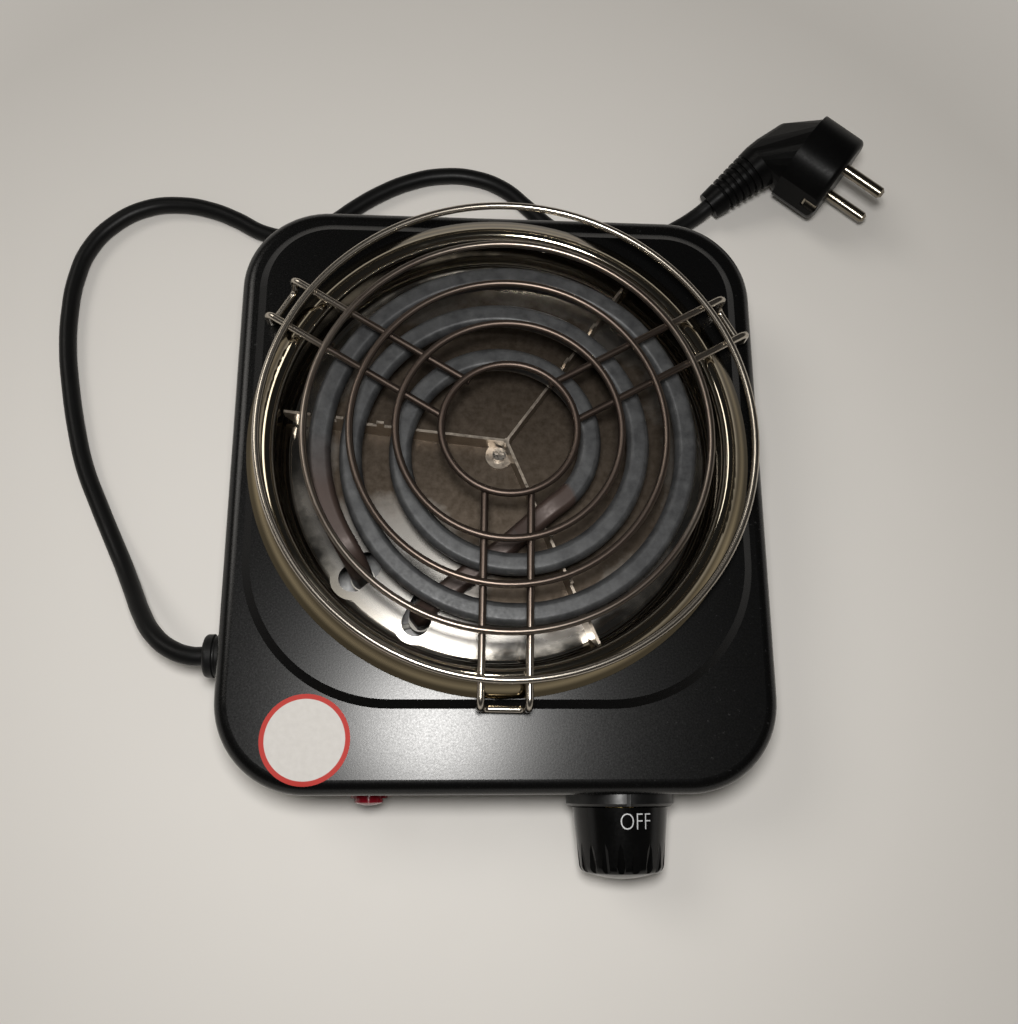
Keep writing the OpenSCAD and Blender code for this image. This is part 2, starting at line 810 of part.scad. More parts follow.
// Where the inner leg crosses an arm, and the height of its underside there
function leg_cross(a) =
    let (off = [inner_end.x, inner_end.y - pan_y] - star_at, dir = polar(1, a), run = polar(1, leg_angle))
        (off.x * run.y - off.y * run.x) / (dir.x * run.y - dir.y * run.x);
function leg_under(a) =
    let (
        at = star_at + polar(leg_cross(a), a),
        gone = norm([inner_end.x - at.x, inner_end.y - pan_y - at.y]) / rise_run
    )
    coil_z - coil_d / 2 - (coil_z - leg_z) * (3 * gone * gone - 2 * gone * gone * gone);

module at_leg_ends() {
    for (leg = [outer_leg, inner_leg])
        translate([leg.x, leg.y, leg_end_z - seal_gap]) mirror([0, 0, 1]) children();
}

module coil_seals() {
    color("#e6e0d2")
        at_leg_ends()
            difference() {
                cylinder(d = seal_d, h = seal_h);
                translate([0, 0, -cut]) cylinder(d = coil_pin_d + 0.1, h = seal_h + 2 * cut);
            }
}

module coil_pins() {
    color("#b9bcc0")
        at_leg_ends() cylinder(d = coil_pin_d, h = seal_h + coil_pin_l);
}

module at_grid() {
    translate([grid_right, pan_y + grid_back, 0]) children();
}

module grid_rings() {
    color("#8a7f74")
        at_grid()
            for (k = [0 : ring_count - 1])
                translate([0, 0, grid_ring_z])
                    rotate_extrude($fn = 96) translate([ring_r0 + k * ring_pitch, 0]) circle(d = wire_d);
}

// Hairpin wire: two level runs, two legs turned down and a cross foot
module grid_hairpin() {
    inner = ring_r0 - wire_d;
    level = grid_leg_r - wire_bend_r;
    upright = grid_leg_h - 2 * wire_bend_r;
    for (s = [0, 1]) mirror([0, s, 0]) {
        translate([level, pair_gap / 2, grid_wire_z])
            rotate([0, -90, 0]) cylinder(d = wire_d, h = level - inner);
        translate([level, pair_gap / 2, grid_wire_z - wire_bend_r])
            rotate([90, 0, 0])
                rotate_extrude(angle = 90) translate([wire_bend_r, 0]) circle(d = wire_d);
        translate([grid_leg_r, pair_gap / 2, grid_foot_z + wire_bend_r])
            cylinder(d = wire_d, h = upright);
        translate([grid_leg_r, pair_gap / 2 - wire_bend_r, grid_foot_z + wire_bend_r])
            rotate([0, 90, 0])
                rotate_extrude(angle = 90) translate([wire_bend_r, 0]) circle(d = wire_d);
    }
    translate([grid_leg_r, wire_bend_r - pair_gap / 2, grid_foot_z])
        rotate([-90, 0, 0]) cylinder(d = wire_d, h = pair_gap - 2 * wire_bend_r);
}

module grid_legs() {
    color("#a39a8e")
        at_grid()
            for (a = grid_leg_angles) rotate(a) grid_hairpin();
}

// Knob: a hollow revolved cap with grip flutes and a hub on the shaft's flat
flute_top = knob_l - knob_dome;
flute_spread = (knob_back_d - knob_front_d) / 2 * (flute_l - knob_edge_r) / (flute_top - knob_edge_r);
flute_lean = atan((flute_depth + flute_spread) / flute_l);

module knob_outline(inset) {
    back_r = knob_back_d / 2 - inset;
    front_r = knob_front_d / 2 - inset;
    e = max(knob_edge_r - inset, 0.5);
    rim = knob_l - knob_dome - inset;
    flat_r = front_r - e;
    dome_r = (pow(flat_r, 2) + pow(knob_dome, 2)) / (2 * knob_dome);
    polygon([[0, 0], [back_r, 0], [front_r, rim - e], [flat_r, rim], [0, rim]]);
    translate([flat_r, rim - e]) circle(e);
    translate([0, rim + knob_dome - dome_r])
        intersection() {
            circle(dome_r, $fn = 180);
            translate([0, dome_r - knob_dome - cut]) square([flat_r, knob_dome + 2 * cut]);
        }
}

module control_knob() {
    color("#131314")
        at_front(knob_right, panel_z)
            translate([0, 0, knob_back])
                difference() {
                    union() {
                        difference() {
                            rotate_extrude() knob_outline(0);
                            translate([0, 0, -0.01]) rotate_extrude() knob_outline(knob_wall);
                        }
                        translate([0, 0, hub_back - knob_back])
                            cylinder(r = shaft_d / 2 + hub_wall, h = knob_reach - knob_wall / 2 - hub_back);
                    }
                    translate([0, 0, hub_back - knob_back - cut])
                        linear_extrude(shaft_end - hub_back + cut + shaft_clear) shaft_shape(shaft_clear);
                    for (k = [0 : flute_count - 1])
                        rotate(360 * k / flute_count)
                            translate([knob_front_d / 2 - flute_depth + flute_r, 0, flute_top])
                                rotate([0, -flute_lean, 0])
                                    translate([0, 0, -2 * flute_l])
                                        cylinder(r = flute_r, h = 2 * flute_l + knob_dome + cut, $fn = 12);
                }
}

// Shaft outline with its driving flat
module shaft_shape(clear) {
    r = shaft_d / 2 + clear;
    intersection() {
        circle(r);
        translate([-r, -r]) square([2 * r, r + shaft_d / 4 + clear]);
    }
}

module control_shaft() {
    color("#b9bcc0")
        at_front(knob_right, panel_z) {
            translate([0, 0, -sheet_t - shaft_in]) cylinder(d = shaft_d, h = sheet_t + shaft_in + bush_out);
            translate([0, 0, bush_out]) linear_extrude(shaft_end - bush_out) shaft_shape(0);
        }
}

module knob_bezel() {
    color("#1a1a1b")
        at_front(knob_right, panel_z)
            difference() {
                rotate_extrude()
                    difference() {
                        polygon([
                            [0, 0], [bezel_d / 2, 0], [bezel_d / 2, bezel_t - 0.8],
                            [bezel_d / 2 - 0.8, bezel_t], [0, bezel_t]
                        ]);
                        translate([-cut, -cut]) square([cut + bush_d / 2 + hole_clear, bezel_t + 2 * cut]);
                        translate([-cut, bezel_floor]) square([cut + bezel_well_r, bezel_t]);
                    }
                translate([-index_w / 2, bezel_d / 2 - index_depth, -cut])
                    cube([index_w, index_depth + cut, bezel_t + 2 * cut]);
            }
}

module thermostat_case() {
    color("#d9d3c4")
        at_front(knob_right, panel_z)
            difference() {
                translate([0, 0, -sheet_t - case_d])
                    linear_extrude(case_d) round_rect(case_w, case_h, 3);
                translate([0, 0, -sheet_t - shaft_in - 0.5])
                    cylinder(r = shaft_d / 2 + shaft_clear, h = shaft_in + 0.5 + cut);
            }
}

module thermostat_bush() {
    color("#c9a24b")
        at_front(knob_right, panel_z)
            translate([0, 0, -sheet_t])
                difference() {
                    cylinder(d = bush_d, h = sheet_t + bush_out);
                    translate([0, 0, -cut])
                        cylinder(r = shaft_d / 2 + shaft_clear, h = sheet_t + bush_out + 2 * cut);
                }
}

module thermostat_nut() {
    color("#b9bcc0")
        at_front(knob_right, panel_z)
            translate([0, 0, bezel_floor])
                difference() {
                    cylinder(r = control_nut_r, h = control_nut_h, $fn = 6);
                    translate([0, 0, -cut]) cylinder(d = bush_d + 0.1, h = control_nut_h + 2 * cut);
                }
}

module thermostat_tabs() {
    color("#c9a24b")
        for (s = [-1, 1])
            translate([spade_at(s).x - spade_w / 2, spade_at(s).y, spade_at(s).z - spade_t / 2])
                cube([spade_w, spade_l, spade_t]);
}

// Root of a spade terminal on the back of the thermostat
function spade_at(s) = [knob_right + s * case_w / 4, front_y + sheet_t + case_d, panel_z];

module indicator_lens() {
    color("#b3202a")
        at_front(-lamp_left, panel_z)
            rotate_extrude()
                difference() {
                    union() {
                        square([lens_d / 2, lens_flange_t]);
                        translate([0, -lens_barrel_l]) square([lens_barrel_d / 2, lens_barrel_l]);
                        intersection() {
                            translate([0, lens_h - lens_d]) circle(lens_d);
                            square([lens_barrel_d / 2, lens_h]);
                        }
                    }
                    translate([-cut, -lens_barrel_l - cut])
                        square([cut + lens_barrel_d / 2 - lens_wall, lens_barrel_l + cut + lens_flange_t]);
                }
}

module indicator_lamp() {
    r = lens_barrel_d / 2 - lens_wall;
    color("#e8d8c8")
        at_front(-lamp_left, panel_z) {
            translate([0, 0, -lens_barrel_l]) cylinder(r = r - 0.1, h = 4);
            translate([0, 0, -lens_barrel_l + 4]) cylinder(r = r - 1.4, h = lens_barrel_l - 6);
            translate([0, 0, -2]) sphere(r = r - 1.4);
        }
}

// Push-on clip that holds the lens from inside the wall
module indicator_clip() {
    color("#b9bcc0")
        at_front(-lamp_left, panel_z)
            translate([0, 0, -sheet_t - 1])
                difference() {
                    cylinder(d = lens_d + 3, h = 1);
                    translate([0, 0, -cut]) cylinder(d = lens_barrel_d + 0.1, h = 1 + 2 * cut);
                }
}

// The whole lead, from the bushing's face to the end of the plug's boot
gland_face = gland_at - [gland_t, 0, 0];
boot_axis = [
    cos(boot_drop) * cos(boot_turn + plug_turn),
    cos(boot_drop) * sin(boot_turn + plug_turn),
    -sin(boot_drop)
];
boot_start = plug_at + concat(
    [
        boot_root.x * cos(plug_turn) - boot_root.y * sin(plug_turn),
        boot_root.x * sin(plug_turn) + boot_root.y * cos(plug_turn)
    ],
    [boot_root.z]
);
boot_end = boot_start + boot_l * boot_axis;
cord_stop = boot_end + 0.1 * boot_axis;
cord_route = concat(
    [gland_face, gland_face - [lead_out, 0, 0]], lead_route, [cord_stop + 6 * boot_axis, cord_stop]
);

// Bushing with a rounded outer edge and a groove, a neck in the wall and a lock behind it
module cord_gland() {
    lock_z = -sheet_t - gland_lock_t;
    edge = [gland_d / 2 - gland_edge_r, gland_t - gland_edge_r];
    color("#161617")
        translate(gland_at)
            rotate([0, -90, 0])
                rotate_extrude()
                    difference() {
                        union() {
                            square([gland_d / 2, edge.y]);
                            square([edge.x, gland_t]);
                            translate(edge) circle(gland_edge_r);
                            translate([0, lock_z]) square([gland_neck_d / 2, -lock_z]);
                            translate([0, lock_z]) square([gland_lock_d / 2, gland_lock_t]);
                        }
                        translate([gland_d / 2, gland_t / 2]) circle(gland_groove_r);
                    }
}

module power_cord() {
    color("#121213")
        tube(cord_route, [for (p = cord_route) cord_d / 2], cord_sides, 0, len(cord_route) - 1);
}

// End of the cord's sheath inside the housing
sheath_l = 16;
sheath_end = gland_at + [sheet_t + gland_lock_t + sheath_l, 0, 0];

module inner_sheath() {
    color("#121213")
        translate(gland_at + [sheet_t + gland_lock_t, 0, 0])
            rotate([0, 90, 0]) cylinder(d = cord_d, h = sheath_l);
}

// Porcelain terminal block on the base plate, one way for each core
block_ways = 3;
way_pitch = 10;
block_w = block_ways * way_pitch;
block_d = 18;
block_h = 14;
core_run = 12.5;
block_at = [sheath_end.x + core_run + block_d / 2, gland_at.y, base_top];
function way_at(k, side) = block_at + [
    side * block_d / 2, (k - (block_ways - 1) / 2) * way_pitch, block_h / 2
];

module terminal_block() {
    color("#efeadf")
        difference() {
            translate(block_at + [-block_d / 2, -block_w / 2, 0]) cube([block_d, block_w, block_h]);
            for (k = [0 : block_ways - 1]) {
                translate(way_at(k, -1) - [cut, 0, 0])
                    rotate([0, 90, 0]) cylinder(r = wire_r + hole_clear, h = block_d + 2 * cut);
                for (s = [-1, 1])
                    translate(way_at(k, s / 2)) cylinder(r = screw_r + hole_clear, h = block_h);
            }
        }
}

module terminal_screws() {
    color("#c9a24b")
        for (k = [0 : block_ways - 1], s = [-1, 1])
            translate(way_at(k, s / 2) + [0, 0, wire_r + hole_clear])
                difference() {
                    cylinder(r = screw_r, h = block_h / 2 - wire_r - hole_clear - 0.5);
                    translate([-screw_r, -0.3, block_h / 2 - wire_r - hole_clear - 1.2])
                        cube([2 * screw_r, 0.6, 2]);
                }
}

// Earth screw through the base plate, with the tag under its nut
earth_run = 46;
earth_back = 26;
earth_at = [block_at.x + earth_run, front_y + earth_back, base_top];
tag_t = 1;
tag_r = 4;

module earth_screw() {
    color("#b9bcc0") {
        translate([earth_at.x, earth_at.y, foot_h]) pan_head_screw(base_t + tag_t + nut_h + 1);
        translate(earth_at + [0, 0, tag_t])
            difference() {
                cylinder(r = nut_r, h = nut_h, $fn = 6);
                translate([0, 0, -cut]) cylinder(r = screw_r, h = nut_h + 2 * cut);
            }
    }
}

module earth_tag() {
    color("#c9a24b")
        translate(earth_at)
            difference() {
                union() {
                    cylinder(r = tag_r, h = tag_t);
                    translate([-tag_r, 0, 0]) cube([2 * tag_r, tag_r + 7, tag_t]);
                }
                translate([0, 0, -cut]) cylinder(r = screw_r + hole_clear, h = tag_t + 2 * cut);
            }
}

// Loose inner wire that leaves and arrives along given flat headings
wire_steps = 12;
function wire_run(p, a, q, b) = [for (k = [0 : wire_steps]) rise(p, a, q, b, k / wire_steps)];

// Ends of the wires: in the block's ways, behind a spade, under a pin of the element, on the earth tag
end_gap = 0.3;
way_in = [2, 0, 0];
way_out = [0.5, 0, 0];
function from_way(k, q, b) = concat([way_at(k, 1) - way_in], wire_run(way_at(k, 1) + way_out, 0, q, b));
function spade_tip(s) = spade_at(s) + [0, spade_l + end_gap, 0];
pin_end_z = leg_end_z - seal_gap - seal_h - coil_pin_l;
function pin_tip(leg) = [leg.x, leg.y, pin_end_z - wire_r - end_gap];
tag_tail = earth_at + [0, tag_r + 5, tag_t + wire_r + end_gap];
core_gap = 2.4;
inner_wire_routes = [
    from_way(0, spade_tip(-1), -90),
    wire_run(spade_tip(1), 90, pin_tip(outer_leg), 180),
    from_way(2, pin_tip(inner_leg), 0),
    from_way(1, tag_tail, -90)
];
core_routes = [
    for (k = [0 : block_ways - 1])
        concat(
            wire_run(sheath_end + [end_gap, (k - 1) * core_gap, 0], 0, way_at(k, -1) - way_out, 0),
            [way_at(k, -1) + way_in]
        )
];

module inner_wires() {
    color("#7c4a2c")
        for (route = concat(inner_wire_routes, core_routes))
            tube(route, [for (p = route) wire_r], wire_sides, 0, len(route) - 1);
}

// Plug's head about its axis, from the face backwards
module plug_head_section() {
    edge_x = plug_d / 2 - plug_edge_r;
    square([edge_x, plug_head_l]);
    translate([0, plug_edge_r]) square([plug_d / 2, plug_head_l - plug_edge_r]);
    translate([edge_x, plug_edge_r]) circle(plug_edge_r);
}

// Round head with flats at its sides, and behind it a level spine in line with the ribbed sleeve
module plug_body() {
    color("#131314")
        at_plug()
            difference() {
                union() {
                    intersection() {
                        rotate([0, -90, 0]) rotate_extrude() plug_head_section();
                        cube([3 * plug_head_l, plug_d - 2 * plug_flat, plug_d], center = true);
                    }
                    hull() {
                        translate([-plug_head_l, 0, 0])
                            rotate([0, 90, 0]) cylinder(d = plug_d - 3, h = 1, $fn = 32);
                        translate(boot_root)
                            rotate([0, 90, boot_turn + 180])
                                translate([0, 0, spine_start])
                                    cylinder(r = spine_r, h = spine_l - spine_start, $fn = 32);
                        translate(boot_root)
                            rotate([0, 90 + boot_drop, boot_turn])
                                cylinder(r = boot_root_r, h = boot_gap, $fn = 32);
                    }
                }
                translate(boot_root)
                    rotate([0, 90 + boot_drop, boot_turn])
                        translate([0, 0, boot_gap]) cylinder(r = boot_root_r + boot_clear, h = boot_l);
                for (s = [0, 1])
                    mirror([0, s, 0])
                        translate([-clip_l, plug_d / 2 - plug_flat - clip_depth, -clip_w / 2])
                            cube([clip_l + cut, clip_depth + cut, clip_w]);
            }
}

// Ribbed sleeve where the cord enters the plug, plain at both ends
module plug_boot() {
    pitch = (boot_l - 2 * boot_collar) / boot_ribs;
    slope = (boot_root_r - boot_tip_r) / boot_l;
    color("#131314")
        translate(boot_start)
            rotate([0, 90 + boot_drop, boot_turn + plug_turn])
                difference() {
                    translate([0, 0, boot_gap])
                        cylinder(r1 = boot_root_r, r2 = boot_tip_r, h = boot_l - boot_gap);
                    for (k = [0 : boot_ribs - 1])
                        translate([0, 0, boot_collar + k * pitch])
                            rotate_extrude()
                                translate([boot_root_r - slope * (boot_collar + k * pitch) - boot_groove, 0])
                                    square([3 * boot_groove, pitch / 2]);
                }
}

module plug_pins() {
    color("#c4bfae")
        at_plug()
            for (s = [-1, 1])
                translate([-6, 0, s * pin_gap / 2])
                    rotate([0, 90, 0]) {
                        cylinder(d = pin_d, h = pin_l + 6 - pin_d / 4);
                        translate([0, 0, pin_l + 6 - pin_d / 4])
                            cylinder(d1 = pin_d, d2 = pin_d / 2, h = pin_d / 4);
                    }
}

// Earth contacts with a bent back end, in the slots at the plug's sides
module plug_clips() {
    seat = plug_d / 2 - plug_flat - clip_depth;
    color("#c9c3b2")
        at_plug()
            for (s = [0, 1])
                mirror([0, s, 0])
                    translate([-clip_l + 0.4, seat + 0.1, -clip_w / 2 + 0.4]) {
                        cube([clip_l - 0.8, clip_t, clip_w - 0.8]);
                        cube([clip_t, clip_depth - 0.6, clip_w - 0.8]);
                    }
}

top_housing();
base_plate();
base_tabs();
base_screws();
rubber_feet();
drip_pan();
pan_strap();
pan_bolt();
pan_nut();
coil_support();
heating_coil();
coil_seals();
coil_pins();
grid_rings();
grid_legs();
control_knob();
control_shaft();
knob_bezel();
thermostat_case();
thermostat_bush();
thermostat_nut();
thermostat_tabs();
indicator_lens();
indicator_lamp();
indicator_clip();
cord_gland();
power_cord();
inner_sheath();
terminal_block();
terminal_screws();
inner_wires();
earth_tag();
earth_screw();
plug_body();
plug_boot();
plug_pins();
plug_clips();
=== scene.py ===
"""Looks of an electric hot plate: materials, smooth pieces over the CAD frame, floor, light and camera.

Metres, in the frame of the CAD model: +X right, +Y back, +Z up, table at Z = 0.
"""
import json
import math

import bmesh
import bpy
from mathutils import Matrix, Vector


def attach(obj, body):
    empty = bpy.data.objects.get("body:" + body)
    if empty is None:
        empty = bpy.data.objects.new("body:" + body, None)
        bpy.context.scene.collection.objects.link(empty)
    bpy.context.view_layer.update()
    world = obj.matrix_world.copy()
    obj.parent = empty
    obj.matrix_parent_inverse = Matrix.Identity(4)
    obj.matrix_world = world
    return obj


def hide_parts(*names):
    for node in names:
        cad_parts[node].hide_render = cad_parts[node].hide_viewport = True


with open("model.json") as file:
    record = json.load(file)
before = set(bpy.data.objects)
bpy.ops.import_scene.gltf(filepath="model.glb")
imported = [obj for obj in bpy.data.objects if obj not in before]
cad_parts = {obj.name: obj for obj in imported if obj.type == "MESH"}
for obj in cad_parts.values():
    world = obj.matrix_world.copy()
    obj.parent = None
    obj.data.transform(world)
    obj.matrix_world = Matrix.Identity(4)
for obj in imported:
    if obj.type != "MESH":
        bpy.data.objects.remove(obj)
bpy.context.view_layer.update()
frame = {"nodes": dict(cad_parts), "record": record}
nodes = frame["nodes"]
scene = bpy.context.scene
MM = 0.001
UP = Vector((0, 0, 1))

# Main places of the CAD model, in millimetres
BODY_Y = 14.25
TOP_Z = 48
PAN_X, PAN_Y = 0, 27.25
GRID_X, GRID_Y = 2.25, 29.25
SLOTS_X, SLOTS_Y = -40, -27
COIL_X, COIL_Y, COIL_Z = 2.5, 26.25, 50.5
KNOB_X, KNOB_Z = 43.5, 24

# Depth of the finest bumps, in metres
GRAIN = 0.00005


# Shader helpers

def material(name, **sockets):
    """A Principled material with constant values on the shader's own sockets."""
    mat = bpy.data.materials.new(name)
    mat.use_nodes = True
    shader = mat.node_tree.nodes["Principled BSDF"]
    for key, value in sockets.items():
        shader.inputs[key.replace("_", " ")].default_value = value
    return mat, mat.node_tree, shader


def add(tree, kind, **values):
    """A shader node, with attributes and unlinked inputs set by name."""
    made = tree.nodes.new(kind)
    for key, value in values.items():
        if hasattr(made, key):
            setattr(made, key, value)
        else:
            made.inputs[key.replace("_", " ")].default_value = value
    return made


def place(tree):
    return add(tree, "ShaderNodeTexCoord").outputs["Object"]


def noise(tree, where, scale, detail=4.0, rough=0.55, stretch=(1, 1, 1)):
    mapped = where
    if stretch != (1, 1, 1):
        mapping = add(tree, "ShaderNodeMapping")
        mapping.inputs["Scale"].default_value = stretch
        tree.links.new(where, mapping.inputs["Vector"])
        mapped = mapping.outputs["Vector"]
    made = add(tree, "ShaderNodeTexNoise", Scale=scale, Detail=detail, Roughness=rough)
    tree.links.new(mapped, made.inputs["Vector"])
    return made.outputs["Fac"]


def ramp(tree, value, *stops):
    """Colour ramp through (position, colour) stops; a number stands for a grey."""
    made = add(tree, "ShaderNodeValToRGB")
    band = made.color_ramp
    while len(band.elements) < len(stops):
        band.elements.new(0.5)
    for element, (at, colour) in zip(band.elements, stops):
        element.position = at
        element.color = (colour,) * 3 + (1,) if isinstance(colour, (int, float)) else (*colour, 1)
    tree.links.new(value, made.inputs["Fac"])
    return made.outputs["Color"]


def mix(tree, factor, a, b, kind="MIX"):
    """Mix of two colours, each a colour or a socket."""
    made = add(tree, "ShaderNodeMix", data_type="RGBA", blend_type=kind)
    sockets = [s for s in made.inputs if s.enabled]
    for socket, value in zip(sockets, (factor, a, b)):
        if hasattr(value, "links"):
            tree.links.new(value, socket)
        elif isinstance(value, (int, float)):
            socket.default_value = value
        else:
            socket.default_value = (*value, 1)
    return [s for s in made.outputs if s.enabled][0]


def bump(tree, shader, height, strength, distance):
    made = add(tree, "ShaderNodeBump", Strength=strength, Distance=distance)
    tree.links.new(height, made.inputs["Height"])
    tree.links.new(made.outputs["Normal"], shader.inputs["Normal"])


def maths(tree, kind, a, b=None):
    made = add(tree, "ShaderNodeMath", operation=kind)
    for socket, value in zip(made.inputs, (a, b)):
        if value is None:
            continue
        if hasattr(value, "links"):
            tree.links.new(value, socket)
        else:
            socket.default_value = value
    return made.outputs["Value"]


def wobbled(tree, value, blotches, amount):
    """A value that blotches push up and down by half of the amount."""
    return maths(tree, "ADD", value, maths(tree, "MULTIPLY", maths(tree, "SUBTRACT", blotches, 0.5), amount))


def along(tree, where, axis, low, high):
    """Place on one axis, from 0 at low to 1 at high, both in millimetres."""
    apart = add(tree, "ShaderNodeSeparateXYZ")
    tree.links.new(where, apart.inputs["Vector"])
    shifted = maths(tree, "SUBTRACT", apart.outputs[axis], low * MM)
    return maths(tree, "DIVIDE", shifted, (high - low) * MM)


def radius_from(tree, where, x, y, unit):
    """Distance from an upright axis, as a share of unit; all in millimetres."""
    apart = add(tree, "ShaderNodeSeparateXYZ")
    tree.links.new(where, apart.inputs["Vector"])
    dx = maths(tree, "SUBTRACT", apart.outputs["X"], x * MM)
    dy = maths(tree, "SUBTRACT", apart.outputs["Y"], y * MM)
    square = maths(tree, "ADD", maths(tree, "MULTIPLY", dx, dx), maths(tree, "MULTIPLY", dy, dy))
    return maths(tree, "DIVIDE", maths(tree, "SQRT", square), unit * MM)


# Materials

def simple(name, colour, dark, rough, spread=0.12, scale=900, metallic=0.0, grain=0.15, **more):
    """Colour and roughness that vary softly over the surface, with a fine bump."""
    mat, tree, shader = material(name, Metallic=metallic, **more)
    where = place(tree)
    blotch = noise(tree, where, scale * 0.08, 5)
    tree.links.new(ramp(tree, blotch, (0.3, dark), (0.7, colour)), shader.inputs["Base Color"])
    fine = noise(tree, where, scale, 6)
    shine = ramp(tree, fine, (0.25, max(rough - spread, 0.03)), (0.75, rough + spread))
    tree.links.new(shine, shader.inputs["Roughness"])
    bump(tree, shader, fine, grain, GRAIN)
    return mat


def stove_enamel():
    """Satin black: a fine orange peel and a few specks of dust."""
    mat, tree, shader = material("housing_enamel", Specular_IOR_Level=0.36)
    where = place(tree)
    dust = ramp(tree, noise(tree, where, 700, 2), (0.0, 0.0015), (0.7, 0.0025), (0.78, 0.02))
    tree.links.new(dust, shader.inputs["Base Color"])
    shine = ramp(tree, noise(tree, where, 1600, 4), (0.3, 0.23), (0.7, 0.29))
    tree.links.new(shine, shader.inputs["Roughness"])
    bump(tree, shader, noise(tree, where, 1500, 3), 0.2, 0.00004)
    return mat


def pan_stains_and_painted_bands():
    """Polished wall and rim; dark and gold rings on the skirt, partly heat tint and partly painted
    reflection; and a floor browned except near the slots.
    """
    mat, tree, shader = material("pan_steel", Metallic=1.0)
    where = place(tree)
    out = radius_from(tree, where, PAN_X, PAN_Y, 100)
    stain = noise(tree, where, 45, 7, 0.6)
    brown = ramp(tree, noise(tree, where, 500, 5), (0.3, (0.045, 0.035, 0.026)), (0.7, (0.075, 0.06, 0.047)))
    # Steel tone by radius. The dark and gold rings on the skirt, from 85.5 to 88.5 mm, are painted
    # reflection as well as heat tint.
    steel_and_painted_bands = ramp(
        tree, out,
        (0.7, (0.42, 0.405, 0.38)), (0.8, (0.45, 0.41, 0.34)), (0.84, (0.42, 0.37, 0.28)),
        (0.855, (0.1, 0.08, 0.05)), (0.872, (0.28, 0.23, 0.145)), (0.885, (0.08, 0.065, 0.04)),
    )
    in_middle = ramp(tree, wobbled(tree, out, stain, 0.3), (0.6, 1.0), (0.78, 0.0))
    from_slots = wobbled(tree, radius_from(tree, where, SLOTS_X, SLOTS_Y, 100), stain, 0.35)
    off_slots = ramp(tree, from_slots, (0.16, 0.0), (0.4, 1.0))
    browned = mix(tree, 1.0, off_slots, in_middle, "MULTIPLY")
    tree.links.new(mix(tree, browned, steel_and_painted_bands, brown), shader.inputs["Base Color"])
    polish = ramp(tree, from_slots, (0.2, 0.2), (0.34, 0.07))
    tree.links.new(mix(tree, browned, polish, (0.5, 0.5, 0.5)), shader.inputs["Roughness"])
    bump(tree, shader, noise(tree, where, 900, 4), 0.08, 0.00004)
    return mat


def browned_wire():
    """Plated wire: brown and dull over the element, bright at the outer ring and the feet."""
    mat, tree, shader = material("grid_wire", Metallic=1.0)
    where = place(tree)
    out = radius_from(tree, where, GRID_X, GRID_Y, 100)
    patchy = wobbled(tree, out, noise(tree, where, 40, 5), 0.3)
    tint = ramp(
        tree, patchy,
        (0.3, (0.095, 0.072, 0.06)), (0.66, (0.15, 0.118, 0.098)), (0.92, (0.5, 0.455, 0.39)),
    )
    tree.links.new(tint, shader.inputs["Base Color"])
    tree.links.new(ramp(tree, patchy, (0.35, 0.42), (0.9, 0.24)), shader.inputs["Roughness"])
    bump(tree, shader, noise(tree, where, 1400, 5), 0.12, 0.00003)
    return mat


def oxidised_tube():
    """Dark grey oxide, brown where the tube dips to its legs and where the two ends begin."""
    mat, tree, shader = material("element_sheath", Metallic=0.3)
    where = place(tree)
    mottle = noise(tree, where, 150, 8, 0.7)
    grey = ramp(tree, mottle, (0.38, (0.034, 0.035, 0.037)), (0.64, (0.074, 0.076, 0.078)))
    patchy = maths(tree, "MULTIPLY", noise(tree, where, 90, 3), 0.3)
    low = ramp(tree, maths(tree, "ADD", along(tree, where, "Z", 46, 56), patchy), (0.2, 1.0), (0.5, 0.0))
    from_rise = maths(tree, "ADD", radius_from(tree, where, 15, 3, 15), patchy)
    inner = ramp(tree, from_rise, (0.9, 1.0), (1.0, 0.0))
    last_turn = ramp(tree, radius_from(tree, where, COIL_X, COIL_Y, 62.5), (0.99, 0.0), (1.0, 1.0))
    left = ramp(tree, along(tree, where, "X", -20, -45), (0.0, 0.0), (1.0, 1.0))
    front = ramp(tree, maths(tree, "ADD", along(tree, where, "Y", 30, 5), patchy), (0.15, 0.0), (1.0, 1.0))
    outer = maths(tree, "MULTIPLY", maths(tree, "MULTIPLY", left, front), last_turn)
    brown = maths(tree, "MAXIMUM", maths(tree, "MAXIMUM", low, inner), outer)
    tree.links.new(mix(tree, brown, grey, (0.052, 0.034, 0.028)), shader.inputs["Base Color"])
    fine = noise(tree, where, 800, 5)
    tree.links.new(ramp(tree, fine, (0.3, 0.4), (0.7, 0.55)), shader.inputs["Roughness"])
    bump(tree, shader, fine, 0.2, GRAIN)
    return mat


def wire_covering():
    """Silicone sleeves: white over the leads on the left, red over the others."""
    mat, tree, shader = material("wire_sleeve", Roughness=0.5)
    where = place(tree)
    side = along(tree, where, "X", -60, 0)
    sleeves = ramp(tree, side, (0.5, (0.7, 0.68, 0.63)), (0.53, (0.42, 0.03, 0.03)))
    tree.links.new(sleeves, shader.inputs["Base Color"])
    bump(tree, shader, noise(tree, where, 900, 4), 0.1, 0.00004)
    return mat


